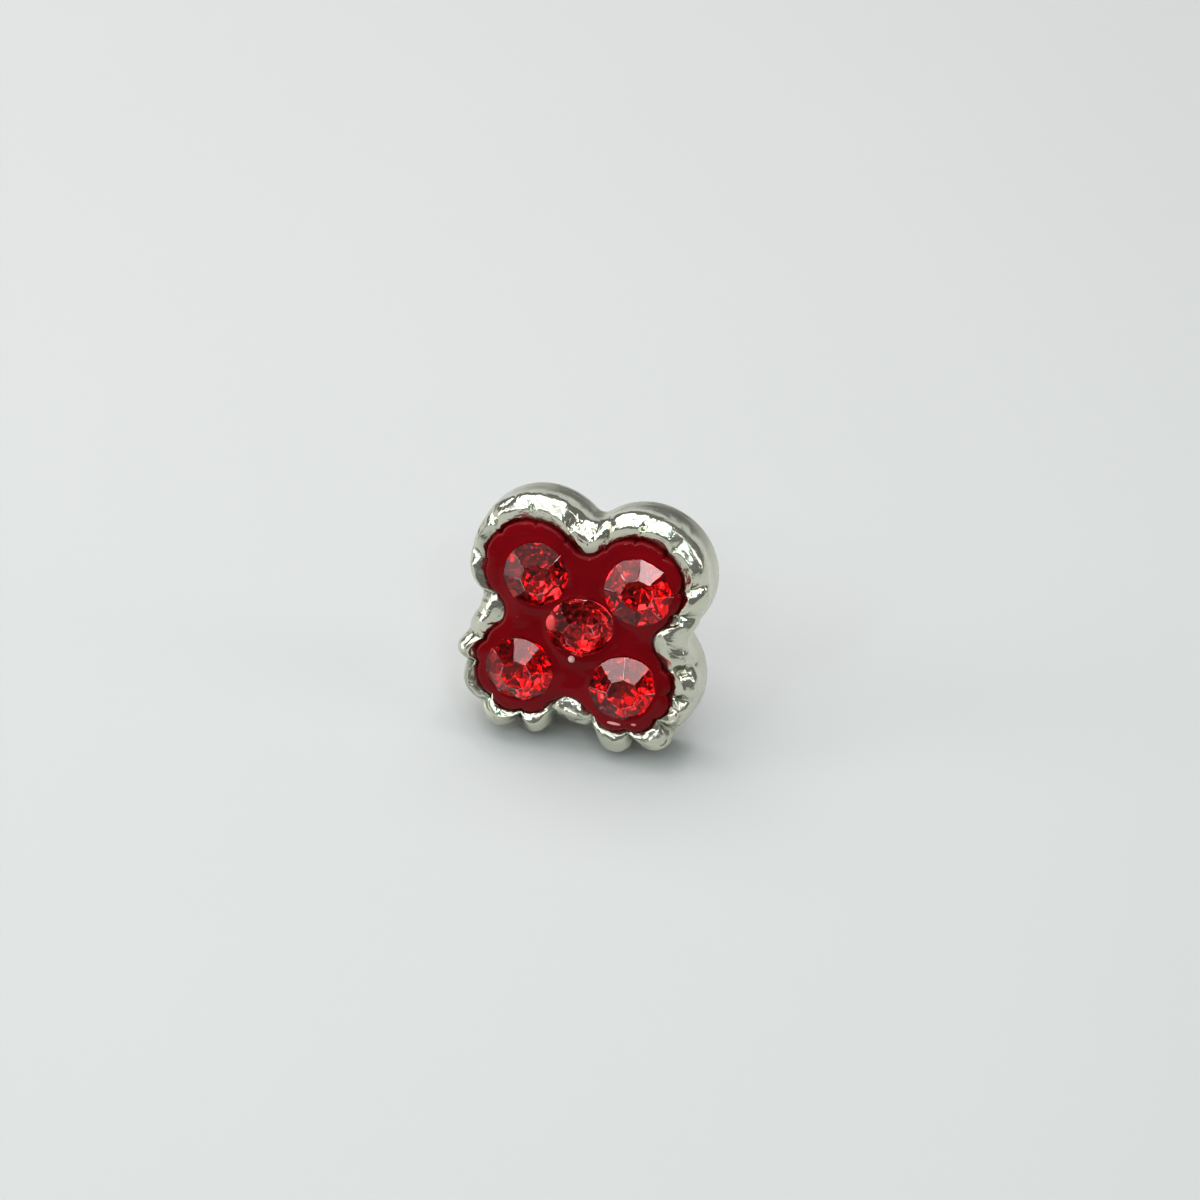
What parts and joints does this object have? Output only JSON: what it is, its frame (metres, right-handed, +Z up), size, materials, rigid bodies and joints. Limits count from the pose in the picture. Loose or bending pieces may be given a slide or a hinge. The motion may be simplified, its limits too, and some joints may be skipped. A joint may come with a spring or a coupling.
{
  "type": "stud earring",
  "caption": "Small quatrefoil stud earring: a cast cup with a gathered rim, a glossy red fill, round red faceted stones and a straight post behind.",
  "frame": {"origin": "on the surface that the earring rests on, under the middle of its bounding box", "axes": "+Z up, +X to the earring's right as its face is seen, -Y towards the face's side, +Y towards the post's tip"},
  "size_m": [0.0082, 0.0122, 0.0081],
  "materials": {
    "silver": "bright silver plate over a cast alloy, lightly scuffed",
    "red_fill": "glossy deep crimson resin",
    "red_glass": "faceted red glass with a foiled back"
  },
  "bodies": {
    "root": {"setting": "silver", "red_fill": "red_fill", "stone_centre": "red_glass", "stone_upper_left": "red_glass", "stone_upper_right": "red_glass", "stone_lower_left": "red_glass", "stone_lower_right": "red_glass"}
  },
  "joints": []
}
